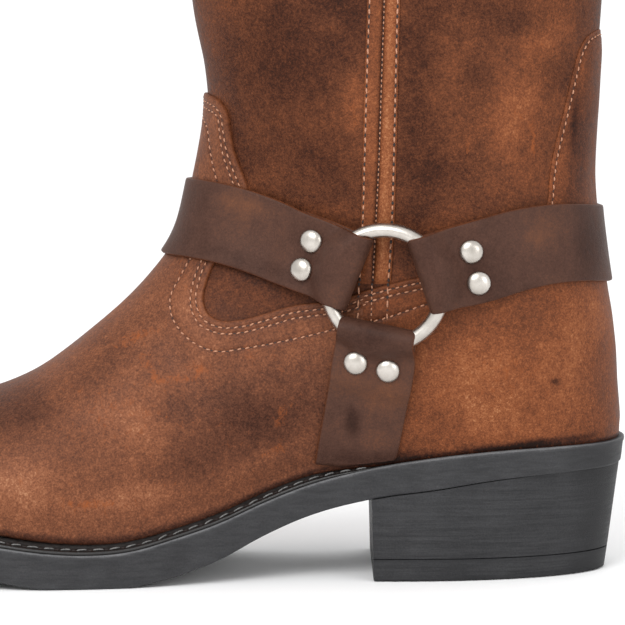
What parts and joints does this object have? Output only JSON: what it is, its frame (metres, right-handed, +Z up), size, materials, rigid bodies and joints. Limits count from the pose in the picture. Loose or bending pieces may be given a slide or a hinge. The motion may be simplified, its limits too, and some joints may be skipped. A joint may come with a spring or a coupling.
{
  "type": "harness boot",
  "caption": "Left pull-on leather boot with block heel, welted rubber sole and a ring harness of riveted straps round the ankle.",
  "frame": {"origin": "on the floor, under the middle of the heel's underside", "axes": "+Z up, -X towards the toe, -Y towards the outer (lateral) side"},
  "size_m": [0.3062, 0.1148, 0.3301],
  "materials": {
    "leather": "oiled pull-up leather, rusty brown with dark mottles, matte to satin",
    "strap_leather": "oiled strap leather, darker brown, satin, raw edges lighter",
    "insole_leather": "natural matte",
    "rubber": "charcoal rubber, buffed matte",
    "welt": "black welt with pale grey stitches",
    "nickel": "satin nickel"
  },
  "bodies": {
    "root": {"outsole": "rubber", "heel_block": "rubber", "heel_top_lift": "rubber", "welt": "welt", "insole": "insole_leather", "upper": "leather", "vamp": "leather", "counter": "leather", "side_seam_lateral": "leather", "side_seam_medial": "leather", "strap_front": "strap_leather", "strap_rear": "strap_leather", "strap_down_lateral": "strap_leather", "strap_down_medial": "strap_leather", "ring_lateral": "nickel", "ring_medial": "nickel", "rivet_front_lateral_1": "nickel", "rivet_front_lateral_2": "nickel", "rivet_front_medial_1": "nickel", "rivet_front_medial_2": "nickel", "rivet_rear_lateral_1": "nickel", "rivet_rear_lateral_2": "nickel", "rivet_rear_medial_1": "nickel", "rivet_rear_medial_2": "nickel", "rivet_down_lateral_1": "nickel", "rivet_down_lateral_2": "nickel", "rivet_down_medial_1": "nickel", "rivet_down_medial_2": "nickel"}
  },
  "joints": []
}
